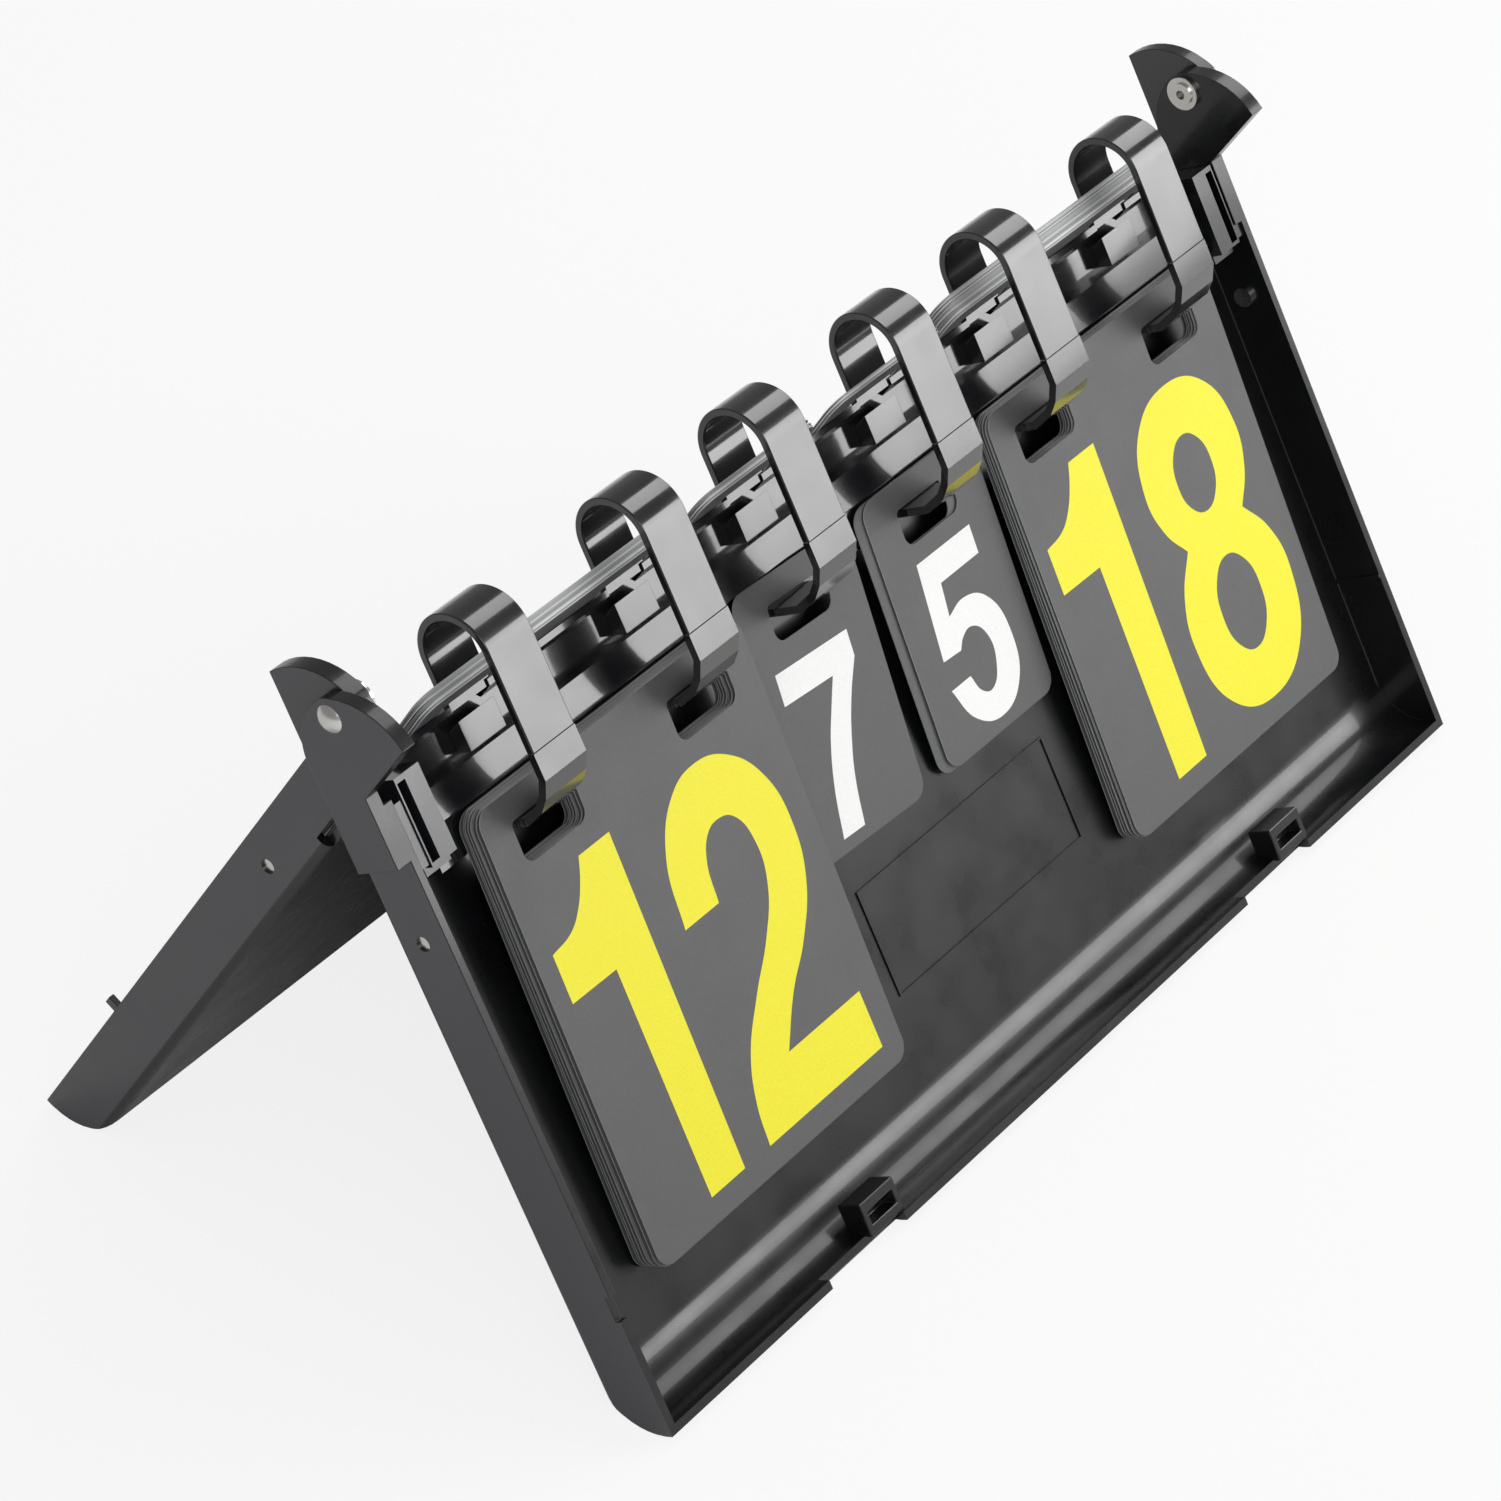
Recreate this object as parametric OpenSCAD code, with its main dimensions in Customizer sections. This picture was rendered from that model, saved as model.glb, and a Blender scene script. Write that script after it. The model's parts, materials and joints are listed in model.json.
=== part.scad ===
// Tabletop flip scoreboard: two hinged tray halves, a ring rail and number cards threaded on six split rings.
// X runs along the hinge, the front half leans towards -Y, +Z is up and the board stands on Z = 0.
// A half is drawn upright in its own frame: X along the hinge, y from the rim plane (0) towards the panel,
// and -z down the half from the hinge axis (0). The modules on_front() and on_rear() then lean it.

/* [Case] */
// Width of a half over its side walls
case_w = 385; // [340:1:420]
// Length of a half from the hinge axis to its bottom rim
case_len = 208.8; // [200:0.1:230]
// Depth of a half from its rim plane to the outside of its panel
case_depth = 18.66; // [18:0.01:21]
// Thickness of all walls of a half
wall = 2.5; // [2:0.1:3]
// Outer radius of the long bottom corner that the board stands on
corner_r = 18; // [12:0.5:18]
// Outer radius between the panel and the side walls
edge_r = 3; // [1:0.5:4]
// Lean of each half from upright
lean = 30.3; // [28:0.1:32]
// Gap between the top edges of the two panels, which stop the opening
stop_gap = 0.4; // [0.3:0.1:1]

/* [Ears and rivets] */
// Radius of the round head of an ear
ear_r = 22; // [20:0.5:23]
// Distance from the hinge axis down to the middle of the round head
ear_drop = 16.3; // [14:0.1:18]
// Depth of an ear and its shank behind the rim plane
ear_depth = 14.5; // [12:0.1:15]
// Where the shank of an ear ends and the full side wall begins
shank_end = 42; // [38:0.5:46]
// Top end of the front side wall, clear of the rear ear
front_wall_top = 26; // [25.5:0.1:30]
// Thickness of a front ear
front_ear_t = 4.5; // [3.5:0.1:6]
// Thickness of a rear ear
rear_ear_t = 5.5; // [4.5:0.1:6]
// Side gap between a front ear and a rear ear
ear_gap = 0.4; // [0.3:0.1:0.8]
// Radius of a rivet shank
rivet_r = 2.5; // [2:0.1:3.5]
// Radial running clearance of a rivet
rivet_play = 0.05; // [0.02:0.01:0.1]
// Radius of a rivet head
rivet_head_r = 3.9; // [3.6:0.1:5]
// Height of a domed rivet head
rivet_head_h = 1.7; // [1:0.1:2.5]
// Radius of the washer at the inner end
washer_r = 5; // [4.2:0.1:6]
// Thickness of the washer
washer_t = 1.2; // [0.8:0.1:1.6]

/* [Rim details] */
// Distance from the hinge axis down to the side pegs
peg_drop = 64.8; // [58:0.1:80]
// Depth of the side pegs behind the rim plane
peg_depth = 9; // [6:0.1:11]
// Radius of a side peg
peg_r = 2.1; // [1.5:0.1:3]
// Half the distance between the two latches
latch_x = 102.4; // [80:0.1:120]
// Sideways shift of the pair of latches
latch_shift = -2.9; // [-10:0.1:10]
// Width of a latch notch in the bottom rim
notch_w = 34; // [24:1:44]
// Depth of a latch notch below the rim plane
notch_depth = 4; // [2:0.5:6]
// Width of a latch catch block
catch_w = 15; // [10:0.5:20]
// Shift of a catch block from the middle of its notch
catch_shift = 11.5; // [0:0.5:14]
// Height of a catch block above the bottom wall
catch_h = 10; // [7:0.5:12]
// Depth of a catch block
catch_depth = 9; // [6:0.5:12]
// Reach of the latch hooks and side tabs beyond the rim plane
hook_reach = 3.5; // [1:0.1:4]
// Distance from the hinge axis down to the side tabs
side_tab_drop = 155; // [100:0.1:170]
// Height of a side tab
side_tab_h = 2.6; // [1.5:0.1:5]
// Distance from the hinge axis down to the slot in the left rim
rim_slot_drop = 167.5; // [120:0.1:180]
// Height of the slot in the left rim
rim_slot_h = 7.1; // [4:0.1:10]
// Depth of the slot in the left rim
rim_slot_depth = 1.6; // [0.8:0.1:3]
// Distance from the hinge axis down to the rib on the right inner wall
rib_drop = 157.2; // [100:0.1:180]
// Width of that rib
rib_w = 1; // [0.6:0.1:2]
// Height of that rib above the wall
rib_h = 0.6; // [0.4:0.1:1]
// Width of the raised line frame on the front panel
mould_frame_w = 89.5; // [60:0.5:100]
// Height of the raised line frame on the front panel
mould_frame_h = 32.2; // [20:0.1:40]
// Width and height of the raised line itself
mould_line = 0.5; // [0.3:0.1:1]
// Distance from the hinge axis down to the frame
mould_drop = 133.5; // [126:0.1:150]
// Sideways shift of the frame
mould_shift = 1.75; // [-8:0.05:8]

/* [Ring rail] */
// Gap between the panel and the back of the rail
rail_gap = 2.16; // [1:0.01:3]
// Gap between an end bracket and the inside of a side wall
bracket_gap = 3.5; // [2:0.1:6]
// Thickness of the rail at its ledge and at the ring roots
rail_t = 7; // [6:0.1:8]
// Thickness of the rail plate below the ledge
plate_t = 4.5; // [3:0.1:5]
// Thickness of the rail behind the open recess
recess_back = 2; // [1.5:0.1:3]
// Clear depth between the front top edge of the rail and the rear panel, where the flipped cards lie
flip_room = 3.48; // [3.4:0.01:4]
// Drop of the bevelled rail top for each millimetre of depth
rail_bevel = 0.563; // [0.5:0.001:0.7]
// Top edge of the ledge
ledge_top = 32.5; // [30:0.1:34]
// Bottom edge of the ledge
ledge_end = 41.5; // [39:0.1:42]
// Width of an end bracket
bracket_w = 9.5; // [8:0.1:10]
// Top edge of an end bracket
bracket_top = 22.5; // [20:0.1:24]
// Bottom edge of an end bracket
bracket_end = 47; // [44:0.1:50]

/* [Rings] */
// Distance of the two inner rings from the middle of the case
ring_inner_x = 29.6; // [27:0.1:33]
// Distance of the next two rings from the middle of the case
ring_mid_x = 82; // [79:0.1:85]
// Distance of the two outer rings from the outside of the side walls
ring_side = 46.2; // [44:0.1:50]
// Width of a ring
ring_w = 16.5; // [12:0.1:18]
// Thickness of the ring strap
strap = 2.3; // [1.8:0.1:2.6]
// Clear width inside a ring
ring_in = 19.7; // [18:0.1:22]
// Height of the ring top above the hinge axis
ring_rise = 6.5; // [5:0.1:9]
// Distance from the hinge axis down to the underside of a ring
ring_drop = 53.3; // [52:0.1:56]
// Distance from the hinge axis down to the parting line of a ring
part_line = 34; // [33:0.1:38]
// Length of the tongue that closes a ring
tongue_h = 2.6; // [1.5:0.1:3]
// Clearance round the tongue
tongue_play = 0.1; // [0.05:0.01:0.2]

/* [Cards] */
// Distance from the middle of a ring to the side edge of a score card
card_side = 22.6; // [18:0.1:23]
// Height of a score card
big_h = 132.5; // [120:0.5:134]
// Width of a set card
small_w = 50.8; // [44:0.1:52]
// Height of a set card
small_h = 80.5; // [70:0.5:90]
// Thickness of one card
card_t = 0.32; // [0.2:0.01:0.34]
// Distance from one card to the next in a stack
pitch = 0.35; // [0.35:0.01:0.38]
// Corner radius of the cards
card_r = 5; // [2:0.5:6]
// Width of the ring slots
slot_w = 25; // [24:0.5:26]
// Height of the ring slots in a score card
big_slot_h = 12.2; // [11:0.1:12.5]
// Height of the ring slot in a set card
small_slot_h = 11; // [10.6:0.1:12]
// Margin between the top edge of a card and its slots
slot_margin = 7.5; // [6:0.1:8]
// Corner radius at the lower edge of the ring slots
slot_r = 3.5; // [3:0.1:5]
// Corner radius at the upper edge of the ring slots
slot_top_r = 1.5; // [0.5:0.1:1.8]
// Play between a slot edge and the ring strap that carries it
slot_play = 0.3; // [0.2:0.05:0.5]
// Lean of the last score cards towards the panel
big_tilt = 3.2; // [2.8:0.1:3.3]
// How much less the front score cards lean
big_fan = 0.8; // [0:0.1:1.2]
// Lean of the last set cards towards the panel
small_tilt = 4.9; // [4:0.1:5.3]
// How much less the front set card of a stack leans
small_fan = 0.5; // [0:0.1:1]
// Gap between the rail plate and the last score card
stack_gap = 1.2; // [0.8:0.1:1.5]
// Gap between the lower edge of the rail plate and the last set card
set_gap = 0.2; // [0.2:0.05:0.5]
// Gap between a front card and the stack behind it
front_gap = 0.3; // [0.3:0.05:0.6]
// Sideways scatter of the cards in a stack
scatter = 0.5; // [0:0.1:0.8]
// Number of left score cards in front and at the back
left_score_front = 20; // [4:1:20]
left_score_back = 12; // [1:1:18]
// Number of right score cards in front and at the back
right_score_front = 14; // [4:1:20]
right_score_back = 18; // [1:1:18]
// Number of left set cards at the back
left_set_back = 7; // [1:1:12]
// Number of right set cards in front and at the back
right_set_front = 3; // [2:1:3]
right_set_back = 5; // [1:1:12]
// Sideways shift of the left score cards on their rings
left_score_shift = 1.85; // [-3:0.05:3]
// Sideways shift of the left set card on its ring
left_set_shift = 3.2; // [-3:0.05:3.3]
// Sideways shift of the front right set card on its ring
right_set_shift = 1.85; // [-3:0.05:3]
// Sideways shift of the set cards behind it
right_back_shift = -1.2; // [-2.5:0.05:2.5]
// Sideways shift of the right score cards on their rings
right_score_shift = 1.15; // [-3:0.05:3]
// Turn of the single left set card, which hangs a little askew
askew = 2.6; // [0:0.1:3]
// Gap between the flipped cards and the bevelled rail top
flip_gap = 0.32; // [0.3:0.01:0.5]
// Lean of the flipped cards towards the rear panel
flip_tilt = 1.1; // [0.8:0.1:1.2]

/* [Hidden] */
$fn = 64;
over = 1;
half_w = case_w / 2;
inner_w = half_w - wall;
panel_in = case_depth - wall;
panel_top = (case_depth * cos(lean) + stop_gap / 2) / sin(lean);
hinge_z = (case_len - corner_r) * cos(lean) + (case_depth - corner_r) * sin(lean) + corner_r;

// Ears: the rear ears lie inside the side walls, the front ears outside them
rear_ear_x = half_w - rear_ear_t;
front_ear_x = half_w + ear_gap;
ear_out = front_ear_x + front_ear_t;
wing = [19, 11.5];
wing_back = 22;
rivet_bore = rivet_r + rivet_play;
washer_gap = 0.1;
washer_x = rear_ear_x - washer_gap;

// Rail, measured as depth from the rim plane
rail_back = panel_in - rail_gap;
rail_face = rail_back - rail_t;
plate_face = rail_back - plate_t;
lip_t = 1.8;
bracket_x = inner_w - bracket_gap - bracket_w;
rail_top = (panel_in - flip_room + rail_face * cos(2 * lean)) / sin(2 * lean);

// Rings: the rear leg stands on the root block, the front leg faces the viewer
ring_back = rail_face + strap + 0.7;
ring_mid = ring_back - strap - ring_in / 2;
ring_out_r = ring_in / 2 + strap;
ring_front = ring_mid - ring_out_r;
arc_drop = ring_out_r - ring_rise;
jaw_floor = ring_drop - strap;
ring_outer_x = half_w - ring_side;
ring_xs = [-ring_outer_x, -ring_mid_x, -ring_inner_x, ring_inner_x, ring_mid_x, ring_outer_x];
root_cut = 2;
root_play = 0.2;
root_end = ledge_top - 1;

// Facets of the lower jaw: [distance from the front face, height above the underside], outside and inside
jaw_out = [[0, 11.8], [2.7, 6.8], [6.1, 3.3], [13, 0]];
jaw_in = [[11.2, 0], [5, 2.9], [2.2, 5.8], [0, 10]];

// Cards: a front card swings about a line a slot height above the jaw floor
swing_r = ring_in / 2 - 0.15;
front_pivot = jaw_floor - slot_play - swing_r;
score_pair = (ring_outer_x + ring_mid_x) / 2;
slot_x = (ring_outer_x - ring_mid_x) / 2;
big_w = 2 * (slot_x + card_side);
stack_back = plate_face - stack_gap;
set_back = plate_face - (ring_drop - front_pivot) * tan(small_tilt) - set_gap;
left_score_y = stack_back - left_score_front * pitch - front_gap;
right_score_y = stack_back - right_score_front * pitch - front_gap;
left_set_y = set_back - pitch;
right_set_y = set_back - right_set_front * pitch - front_gap;
askew_lift = ring_w / 2 * sin(askew);

// Flipped cards turn about the middle of the rings, a rise above the rail top
flip_rise = 8;
flip_pivot = rail_top - flip_rise;
flip_a = 2 * lean - flip_tilt;
flip_low = (ring_mid - rail_face) * cos(flip_a) + (rail_top - flip_pivot) * sin(flip_a) - flip_gap;

// Lean an upright half to the front or to the rear, about the hinge axis
module on_front() translate([0, 0, hinge_z]) rotate([-lean, 0, 0]) children();
module on_rear() translate([0, 0, hinge_z]) mirror([0, 1, 0]) rotate([-lean, 0, 0]) children();

// Extrude a side profile, drawn as [depth, drop], from one X to another
module across(x0, x1) translate([x0, 0, 0]) mirror([0, 0, 1]) rotate([90, 0, 90]) linear_extrude(x1 - x0) children();

// A block given by its corners in X, depth and drop
module block(x0, x1, y0, y1, s0, s1) translate([x0, y0, -s1]) cube([x1 - x0, y1 - y0, s1 - s0]);

module both_sides() {
    children();
    mirror([1, 0, 0]) children();
}

// Outline of a half from the side, drawn in by an inset
module tray_side(inset, rim, top) {
    bend = [case_depth - corner_r, case_len - corner_r];
    translate([rim, top]) square([case_depth - inset - rim, bend[1] - top]);
    translate([rim, top]) square([bend[0] - rim, case_len - inset - top]);
    intersection() {
        translate(bend) circle(corner_r - inset);
        translate([rim, top]) square([case_depth - rim, case_len - top]);
    }
}

// Cross-section of a half, with its two long panel edges rounded
module tray_cross(inset, rim) {
    r = max(edge_r - inset, 0.5);
    w = half_w - inset;
    d = case_depth - inset;
    translate([-w, rim]) square([2 * w, d - r - rim]);
    translate([-w + r, rim]) square([2 * (w - r), d - rim]);
    for (side = [-1, 1]) translate([side * (w - r), d - r]) circle(r);
}

module tray_block(inset, rim, top) intersection() {
    across(-half_w + inset, half_w - inset) tray_side(inset, rim, top);
    translate([0, 0, -case_len - over]) linear_extrude(case_len + 2 * over) tray_cross(inset, rim);
}

// Open tray with the shank notch at the top of each side wall
module tray(wall_top) {
    difference() {
        tray_block(0, 0, wall_top);
        tray_block(wall, -over, wall_top - over);
        both_sides() block(inner_w, half_w + over, ear_depth, case_depth + over, wall_top - over, shank_end);
        block(-inner_w, inner_w, panel_in - over, case_depth + over, wall_top - over, panel_top);
    }
}

// Side profile of an ear: a round head with a wing to the front and a straight shank
module ear_side() {
    slope = (wing_back - wing[1]) / wing[0];
    reach = ear_r + over;
    intersection() {
        translate([over, ear_drop]) circle(ear_r, $fn = 96);
        polygon([[ear_depth, ear_drop - reach], [-reach, ear_drop - reach], [-reach, wing_back - slope * reach],
            [0, wing_back], [0, shank_end], [ear_depth, shank_end]]);
    }
    translate([0, wing_back]) square([ear_depth, shank_end - wing_back]);
}

module hinge_bore() both_sides() translate([rear_ear_x - over, 0, 0]) rotate([0, 90, 0])
    cylinder(r = rivet_bore, h = ear_out - rear_ear_x + 2 * over);

module peg_bore() both_sides() translate([inner_w - over, peg_depth, -peg_drop]) rotate([0, 90, 0])
    cylinder(r = peg_r + rivet_play, h = wall + 2 * over);

// Whatever belongs to a latch is drawn twice, at the middles of the two notches
module both_latches() for (side = [-1, 1]) translate([side * latch_x + latch_shift, 0, 0]) children();

// Notches for opening, cut into the bottom rim
module latch_notches() both_latches()
    block(-notch_w / 2, notch_w / 2, -over, notch_depth, case_len - wall - over, case_len + over);

// Fine raised frame on the panel
module mould_frame() translate([mould_shift, 0, 0]) difference() {
    w = mould_frame_w / 2;
    end = mould_drop + mould_frame_h;
    block(-w, w, panel_in - mould_line, panel_in, mould_drop, end);
    block(-w + mould_line, w - mould_line, 0, case_depth, mould_drop + mould_line, end - mould_line);
}

module front_shell() color("#202225") on_front() difference() {
    union() {
        tray(front_wall_top);
        both_sides() {
            across(front_ear_x, ear_out) ear_side();
            block(inner_w, ear_out, 0, ear_depth, front_wall_top, shank_end);
        }
        mould_frame();
        block(inner_w - rib_h, inner_w, 0, panel_in, rib_drop, rib_drop + rib_w);
    }
    hinge_bore();
    peg_bore();
    latch_notches();
    block(-half_w - over, -inner_w + over, -over, rim_slot_depth, rim_slot_drop, rim_slot_drop + rim_slot_h);
}

module rear_shell() color("#202225") on_rear() difference() {
    union() {
        tray(shank_end - over);
        both_sides() {
            across(rear_ear_x, half_w) ear_side();
            block(inner_w + 0.3, half_w - 0.3, -hook_reach, over, side_tab_drop, side_tab_drop + side_tab_h);
        }
        block(-inner_w, inner_w, panel_in, case_depth, panel_top, shank_end);
    }
    hinge_bore();
    peg_bore();
    latch_notches();
}

// Side profile of the rail without its lip: plate, ledge and bevelled top
module rail_side() {
    recess_y = rail_back - recess_back;
    polygon([bevel_point(recess_y), bevel_point(rail_back), [rail_back, ring_drop], [plate_face, ring_drop],
        [plate_face, ledge_end + 0.8], [rail_face, ledge_end], [rail_face, ledge_top], [recess_y, ledge_top]]);
}

// Side profile of the thin lip along the rail top
module lip_side() {
    front = bevel_point(rail_face);
    rear = bevel_point(rail_back - recess_back);
    polygon([front, rear, rear + [0, lip_t], front + [0, lip_t]]);
}

// Side profile of the fixed lower jaw of a ring
module jaw_side() {
    inside = ring_front + strap;
    outline = [for (p = jaw_out) [ring_front + p[0], ring_drop - p[1]]];
    inline = [for (p = jaw_in) [inside + p[0], jaw_floor - p[1]]];
    polygon([[plate_face + over, jaw_floor], each inline, [inside, part_line], [ring_front, part_line],
        each outline, [plate_face + over, ring_drop]]);
}

module tongue(play) {
    mid = ring_front + strap / 2;
    block(-ring_w * 0.3 - play, ring_w * 0.3 + play, mid - 0.5 - play, mid + 0.5 + play, part_line - over,
        part_line + tongue_h + play);
}

module ring_rail() color("#1b1d20") on_front() {
    across(-bracket_x, bracket_x) rail_side();
    lip_ends = [for (x = ring_xs) each [x - ring_w / 2 - root_play, x + ring_w / 2 - root_cut + root_play]];
    edges = [-bracket_x, each lip_ends, bracket_x];
    for (i = [0:2:len(edges) - 1]) across(edges[i], edges[i + 1]) lip_side();
    for (x = ring_xs) translate([x, 0, 0]) difference() {
        across(-ring_w / 2, ring_w / 2) jaw_side();
        tongue(tongue_play);
    }
}

// A point on the slope of the rail top, at a depth y
function bevel_point(y) = [y, rail_top + rail_bevel * (y - rail_face)];

// Split hoop with its root block in the rail recess and a tongue in the lower jaw
module ring(x) color("#25272a") on_front() translate([x, 0, 0]) {
    root_y = rail_back - recess_back;
    across(-ring_w / 2, ring_w / 2) difference() {
        union() {
            translate([ring_mid, arc_drop]) circle(ring_out_r, $fn = 96);
            translate([ring_front, arc_drop]) square([2 * ring_out_r, part_line - arc_drop]);
        }
        translate([ring_mid, arc_drop]) circle(ring_in / 2, $fn = 96);
        translate([ring_front + strap, arc_drop]) square([ring_in, part_line - arc_drop + over]);
        polygon([bevel_point(ring_mid), bevel_point(case_depth), [case_depth, part_line], [ring_mid, part_line]]);
    }
    across(-ring_w / 2, ring_w / 2 - root_cut) polygon([bevel_point(rail_face), bevel_point(root_y),
        [root_y, root_end], [rail_face, root_end]]);
    tongue(0);
}

// Open end bracket between the rail and a side wall
module rail_end_right() color("#232528") on_front() {
    outer = bracket_x + bracket_w;
    difference() {
        union() {
            block(bracket_x, outer, 0.5, rail_back - 1, bracket_top, bracket_end);
            block(outer, inner_w, 1, rail_back - 1, bracket_top + 5.5, bracket_end - 1);
            block(bracket_x, outer, 4, rail_back - 1, bracket_end, bracket_end + 2.5);
        }
        block(outer - 3.5, outer - 0.5, 0, rail_back - 3, bracket_top + 1.5, bracket_end - 1);
    }
}

module rail_end_left() mirror([1, 0, 0]) rail_end_right();

// Tubular rivet with a domed head outside and a rolled hollow end inside
module rivet_side() {
    tail = washer_x - washer_t;
    difference() {
        union() {
            translate([0, tail]) square([rivet_r, ear_out - tail]);
            translate([0, tail - 0.8]) square([rivet_r + 0.9, 0.8]);
            intersection() {
                translate([0, ear_out]) square([rivet_head_r, rivet_head_h]);
                dome = (rivet_head_r * rivet_head_r + rivet_head_h * rivet_head_h) / (2 * rivet_head_h);
                translate([0, ear_out + rivet_head_h - dome]) circle(dome, $fn = 96);
            }
        }
        translate([0, tail - over]) square([rivet_r * 0.55, 4]);
    }
}

module hinge_rivet_right() color("#c9c7c2") on_front() rotate([0, 90, 0]) rotate_extrude() rivet_side();
module hinge_rivet_left() mirror([1, 0, 0]) hinge_rivet_right();

module hinge_washer_right() color("#b9b7b2") on_front() translate([washer_x - washer_t, 0, 0]) rotate([0, 90, 0])
    difference() {
        cylinder(r = washer_r, h = washer_t);
        translate([0, 0, -over]) cylinder(r = rivet_bore, h = washer_t + 2 * over);
    }

module hinge_washer_left() mirror([1, 0, 0]) hinge_washer_right();

// Pegs through the side walls, recessed from outside and with a head inside
module side_pegs() both_sides() translate([0, peg_depth, -peg_drop]) rotate([0, 90, 0]) {
    translate([0, 0, inner_w - 1.4]) cylinder(r = peg_r + 0.9, h = 1.4);
    translate([0, 0, inner_w - 1.4]) cylinder(r = peg_r, h = wall + 0.6);
}

module front_side_pegs() color("#c9c7c2") on_front() side_pegs();
module rear_side_pegs() color("#c9c7c2") on_rear() side_pegs();

// Keep only what lies inside the walls of a half
module inside_tray() intersection() {
    children();
    tray_block(wall, -case_depth, panel_top);
}

// Catch blocks on the inside of the front bottom wall, each with a pocket for a hook
module front_latch_catches() color("#202225") on_front() inside_tray() both_latches()
    translate([catch_shift, 0, 0]) difference() {
        top = case_len - wall - catch_h;
        block(-catch_w / 2, catch_w / 2, over, catch_depth, top, case_len);
        block(-catch_w / 2 + 2, catch_w / 2 - 2, 0, catch_depth - 3, top + 3, top + catch_h - 3);
    }

// Hooks on the inside of the rear bottom wall, which reach past the rim into the catches
module rear_latch_hooks() color("#202225") on_rear() inside_tray() both_latches()
    translate([catch_shift, 0, 0]) {
        top = case_len - wall - catch_h + 3.4;
        w = catch_w / 2 - 2.5;
        block(-w, w, -hook_reach, catch_depth, top, top + 2);
        block(-w, w, catch_depth - 4, catch_depth, top, case_len);
    }

// Rectangle centred on x, from its lower edge z, with one corner radius below and one above
module rounded(x, z, w, h, low_r, top_r) {
    translate([x - w / 2, z + low_r]) square([w, h - low_r - top_r]);
    translate([x - w / 2 + low_r, z]) square([w - 2 * low_r, low_r + over]);
    translate([x - w / 2 + top_r, z + h - top_r - over]) square([w - 2 * top_r, top_r + over]);
    for (side = [-1, 1]) {
        translate([x + side * (w / 2 - low_r), z + low_r]) circle(low_r);
        translate([x + side * (w / 2 - top_r), z + h - top_r]) circle(top_r);
    }
}

// One card, hanging from the top edges of its slots at z = 0
module card(w, h, slots, slot_h) translate([0, card_t, 0]) rotate([90, 0, 0]) linear_extrude(card_t) difference() {
    rounded(0, slot_margin - h, w, h, card_r, card_r);
    for (x = slots) rounded(x, -slot_h, slot_w, slot_h, slot_r, slot_top_r);
}

// Score cards ride on a pair of rings, set cards on a single one
module score_card() card(big_w, big_h, [-slot_x, slot_x], big_slot_h);
module set_card() card(small_w, small_h, [0], small_slot_h);

function drift(i) = scatter * sin(137 * i);

// Hang from a pivot in depth and drop, leaning down and back by a tilt
module hung(x, y, s, tilt) on_front() translate([x, y, -s]) rotate([tilt, 0, 0]) children();

module left_score_card() color("#3a3b3d")
    hung(-score_pair + left_score_shift, left_score_y, front_pivot, big_tilt - big_fan)
    translate([0, 0, -swing_r]) score_card();

module right_score_card() color("#3a3b3d")
    hung(score_pair + right_score_shift, right_score_y, front_pivot, big_tilt - big_fan)
    translate([0, 0, -swing_r]) score_card();

module left_set_card() color("#3a3b3d")
    hung(-ring_inner_x + left_set_shift, left_set_y, front_pivot, small_tilt)
    translate([0, 0, askew_lift - swing_r]) rotate([0, askew, 0]) set_card();

module right_set_card() color("#3a3b3d")
    hung(ring_inner_x + right_set_shift, right_set_y, front_pivot, small_tilt - small_fan)
    translate([0, 0, -swing_r]) set_card();

// Cards behind a front card, counted from the rail forwards, which lean less and less by a fan angle in all
module front_stack(n, fan) for (i = [1:n]) translate([drift(i), -i * pitch, 0])
    rotate([-fan * i / (n + 1), 0, 0]) translate([0, 0, -swing_r]) children();

module left_score_stack() color("#343537")
    hung(-score_pair + left_score_shift, stack_back, front_pivot, big_tilt)
    front_stack(left_score_front - 1, big_fan) score_card();

module right_score_stack() color("#343537")
    hung(score_pair + right_score_shift, stack_back, front_pivot, big_tilt)
    front_stack(right_score_front - 1, big_fan) score_card();

module right_set_stack() color("#343537")
    hung(ring_inner_x + right_back_shift, set_back, front_pivot, small_tilt)
    front_stack(right_set_front - 1, small_fan) set_card();

// Length from the flip pivot to the slot edge of a flipped card, which rests on the rear legs of the rings
function flip_hang(i) = let (n = flip_low - i * pitch - card_t)
    min((ring_in / 2 + n * cos(flip_a)) / sin(flip_a), sqrt(ring_in * ring_in / 4 - n * n)) - slot_play;

// Flipped cards, counted up from the lowest one on the rail top
module flipped(x, n) hung(x, ring_mid, flip_pivot, flip_a)
    for (i = [0:n - 1]) translate([drift(i), i * pitch - flip_low, -flip_hang(i)]) children();

module left_score_flipped() color("#343537") flipped(-score_pair, left_score_back) score_card();
module left_set_flipped() color("#343537") flipped(-ring_inner_x, left_set_back) set_card();
module right_set_flipped() color("#343537") flipped(ring_inner_x, right_set_back) set_card();
module right_score_flipped() color("#343537") flipped(score_pair, right_score_back) score_card();

front_shell();
rear_shell();
ring_rail();
rail_end_left();
rail_end_right();
ring(ring_xs[0]);  // ring_1
ring(ring_xs[1]);  // ring_2
ring(ring_xs[2]);  // ring_3
ring(ring_xs[3]);  // ring_4
ring(ring_xs[4]);  // ring_5
ring(ring_xs[5]);  // ring_6
hinge_rivet_left();
hinge_rivet_right();
hinge_washer_left();
hinge_washer_right();
front_side_pegs();
rear_side_pegs();
front_latch_catches();
rear_latch_hooks();
left_score_card();
left_set_card();
right_set_card();
right_score_card();
left_score_stack();
right_set_stack();
right_score_stack();
left_score_flipped();
left_set_flipped();
right_set_flipped();
right_score_flipped();
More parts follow.
